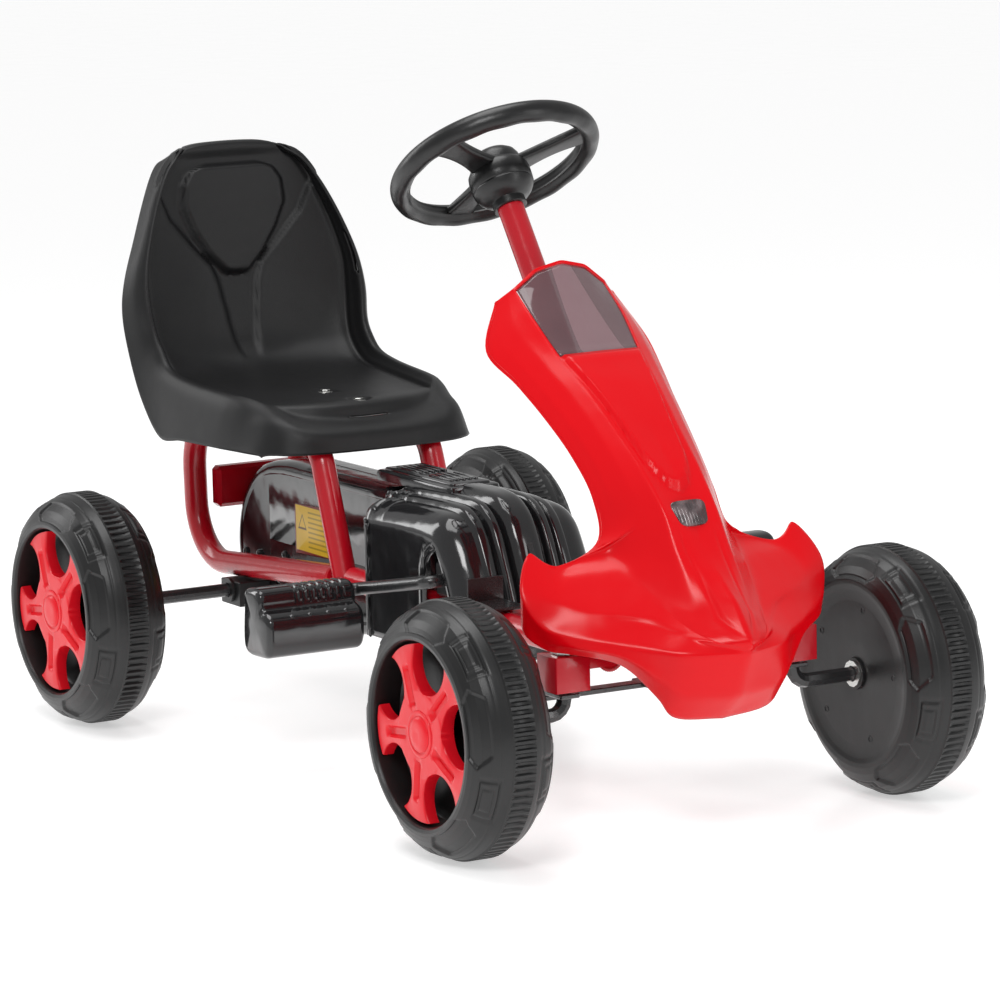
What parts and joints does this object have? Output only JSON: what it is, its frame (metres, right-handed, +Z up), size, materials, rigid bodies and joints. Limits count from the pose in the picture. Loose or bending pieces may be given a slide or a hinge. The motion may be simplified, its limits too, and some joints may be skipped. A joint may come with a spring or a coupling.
{
  "type": "pedal go kart",
  "caption": "Child's pedal go kart: tube frame, bucket seat, chain drive to the rear axle, tilted steering wheel with tie rod, plastic wheels, bonnet and drive covers.",
  "frame": {"origin": "on the ground, at the middle of the kart's length and width", "axes": "+X forward towards the nose, +Y to the driver's left, +Z up; both axles lie along Y"},
  "size_m": [1.043, 0.5816, 0.6601],
  "materials": {
    "red_paint": "gloss powder coat",
    "red_plastic": "satin gloss moulding",
    "matte_black_plastic": "fine grain, satin",
    "gloss_black_plastic": "high gloss",
    "wheel_plastic": "satin blow moulding",
    "black_steel": "black coated steel",
    "zinc_steel": "bright zinc",
    "smoked_window": "smoked, glossy",
    "lens": "tinted, glossy"
  },
  "bodies": {
    "frame": {"front_rail_left": "red_paint", "front_rail_right": "red_paint", "seat_hoop_left": "red_paint", "seat_hoop_right": "red_paint", "seat_post_left": "red_paint", "seat_post_right": "red_paint", "rear_cross_tube": "red_paint", "mid_cross_tube": "red_paint", "front_beam": "red_paint", "seat_bracket": "red_paint", "column_bracket": "red_paint", "column_bush": "gloss_black_plastic", "seat_shell": "matte_black_plastic", "seat_bolt_front": "black_steel", "seat_bolt_rear": "black_steel", "axle_bearing_block_left": "matte_black_plastic", "axle_bearing_block_right": "matte_black_plastic", "axle_bush_left": "gloss_black_plastic", "axle_bush_right": "gloss_black_plastic", "crank_bearing_left": "matte_black_plastic", "crank_bearing_right": "matte_black_plastic", "chain": "black_steel", "chain_case_left": "gloss_black_plastic", "chain_case_right": "gloss_black_plastic", "engine_cover": "gloss_black_plastic", "intake_cap": "gloss_black_plastic", "cover_bracket": "black_steel", "bonnet": "red_plastic", "windshield": "smoked_window", "headlight_lens": "lens"},
    "rear_drive": {"rear_axle": "black_steel", "rear_sprocket": "black_steel", "tyre_rear_left": "wheel_plastic", "hub_cap_rear_left": "red_plastic", "wheel_bush_rear_left": "matte_black_plastic"},
    "wheel_rear_right": {"tyre_rear_right": "wheel_plastic", "hub_cap_rear_right": "red_plastic", "wheel_bush_rear_right": "matte_black_plastic"},
    "crank": {"crankshaft": "black_steel", "crank_sprocket": "black_steel"},
    "pedal_left_body": {"pedal_left": "gloss_black_plastic"},
    "pedal_right_body": {"pedal_right": "gloss_black_plastic"},
    "steering": {"steering_wheel": "matte_black_plastic", "steering_column": "red_paint"},
    "knuckle_left_body": {"knuckle_left": "black_steel", "kingpin_nut_left": "zinc_steel", "wheel_washer_left": "zinc_steel"},
    "knuckle_right_body": {"knuckle_right": "black_steel", "kingpin_nut_right": "zinc_steel", "wheel_washer_right": "zinc_steel"},
    "wheel_front_left": {"tyre_front_left": "wheel_plastic", "hub_cap_front_left": "red_plastic", "wheel_bush_front_left": "matte_black_plastic"},
    "wheel_front_right": {"tyre_front_right": "wheel_plastic", "hub_cap_front_right": "red_plastic", "wheel_bush_front_right": "matte_black_plastic"},
    "tie_rod_body": {"tie_rod": "black_steel"}
  },
  "joints": [
    {"name": "rear_axle_spin", "type": "hinge", "parent": "frame", "child": "rear_drive", "pos_m": [-0.3661, 0, 0.12], "axis": [0, 1, 0], "continuous": true},
    {"name": "rear_right_wheel_spin", "type": "hinge", "parent": "rear_drive", "child": "wheel_rear_right", "pos_m": [-0.3661, -0.246, 0.12], "axis": [0, 1, 0], "continuous": true},
    {"name": "crank_spin", "type": "hinge", "parent": "frame", "child": "crank", "pos_m": [0.0815, 0, 0.194], "axis": [0, 1, 0], "continuous": true},
    {"name": "pedal_left_spin", "type": "hinge", "parent": "crank", "child": "pedal_left_body", "pos_m": [0.19749, 0.172, 0.21571], "axis": [0, 1, 0], "continuous": true},
    {"name": "pedal_right_spin", "type": "hinge", "parent": "crank", "child": "pedal_right_body", "pos_m": [-0.03449, -0.172, 0.17229], "axis": [0, 1, 0], "continuous": true},
    {"name": "steering_turn", "type": "hinge", "parent": "frame", "child": "steering", "pos_m": [0.0701, 0, 0.5949], "axis": [-0.5807, 0, 0.8141], "range_deg": [-22, 22]},
    {"name": "knuckle_left_turn", "type": "hinge", "parent": "frame", "child": "knuckle_left_body", "pos_m": [0.3931, 0.125, 0.12], "axis": [0, 0, 1], "range_deg": [-22, 22]},
    {"name": "knuckle_right_turn", "type": "hinge", "parent": "frame", "child": "knuckle_right_body", "pos_m": [0.3931, -0.125, 0.12], "axis": [0, 0, 1], "range_deg": [-22, 22]},
    {"name": "front_left_wheel_spin", "type": "hinge", "parent": "knuckle_left_body", "child": "wheel_front_left", "pos_m": [0.3931, 0.236, 0.12], "axis": [0, 1, 0], "continuous": true},
    {"name": "front_right_wheel_spin", "type": "hinge", "parent": "knuckle_right_body", "child": "wheel_front_right", "pos_m": [0.3931, -0.236, 0.12], "axis": [0, 1, 0], "continuous": true},
    {"name": "tie_rod_turn", "type": "hinge", "parent": "knuckle_left_body", "child": "tie_rod_body", "pos_m": [0.3491, 0.125, 0.1283], "axis": [0, 0, 1], "range_deg": [-22, 22]}
  ],
  "couplings": [
    {"joint": "crank_spin", "follows": "rear_axle_spin", "ratio": 0.66667},
    {"joint": "knuckle_left_turn", "follows": "steering_turn", "ratio": 1},
    {"joint": "knuckle_right_turn", "follows": "steering_turn", "ratio": 1},
    {"joint": "tie_rod_turn", "follows": "steering_turn", "ratio": -1}
  ]
}
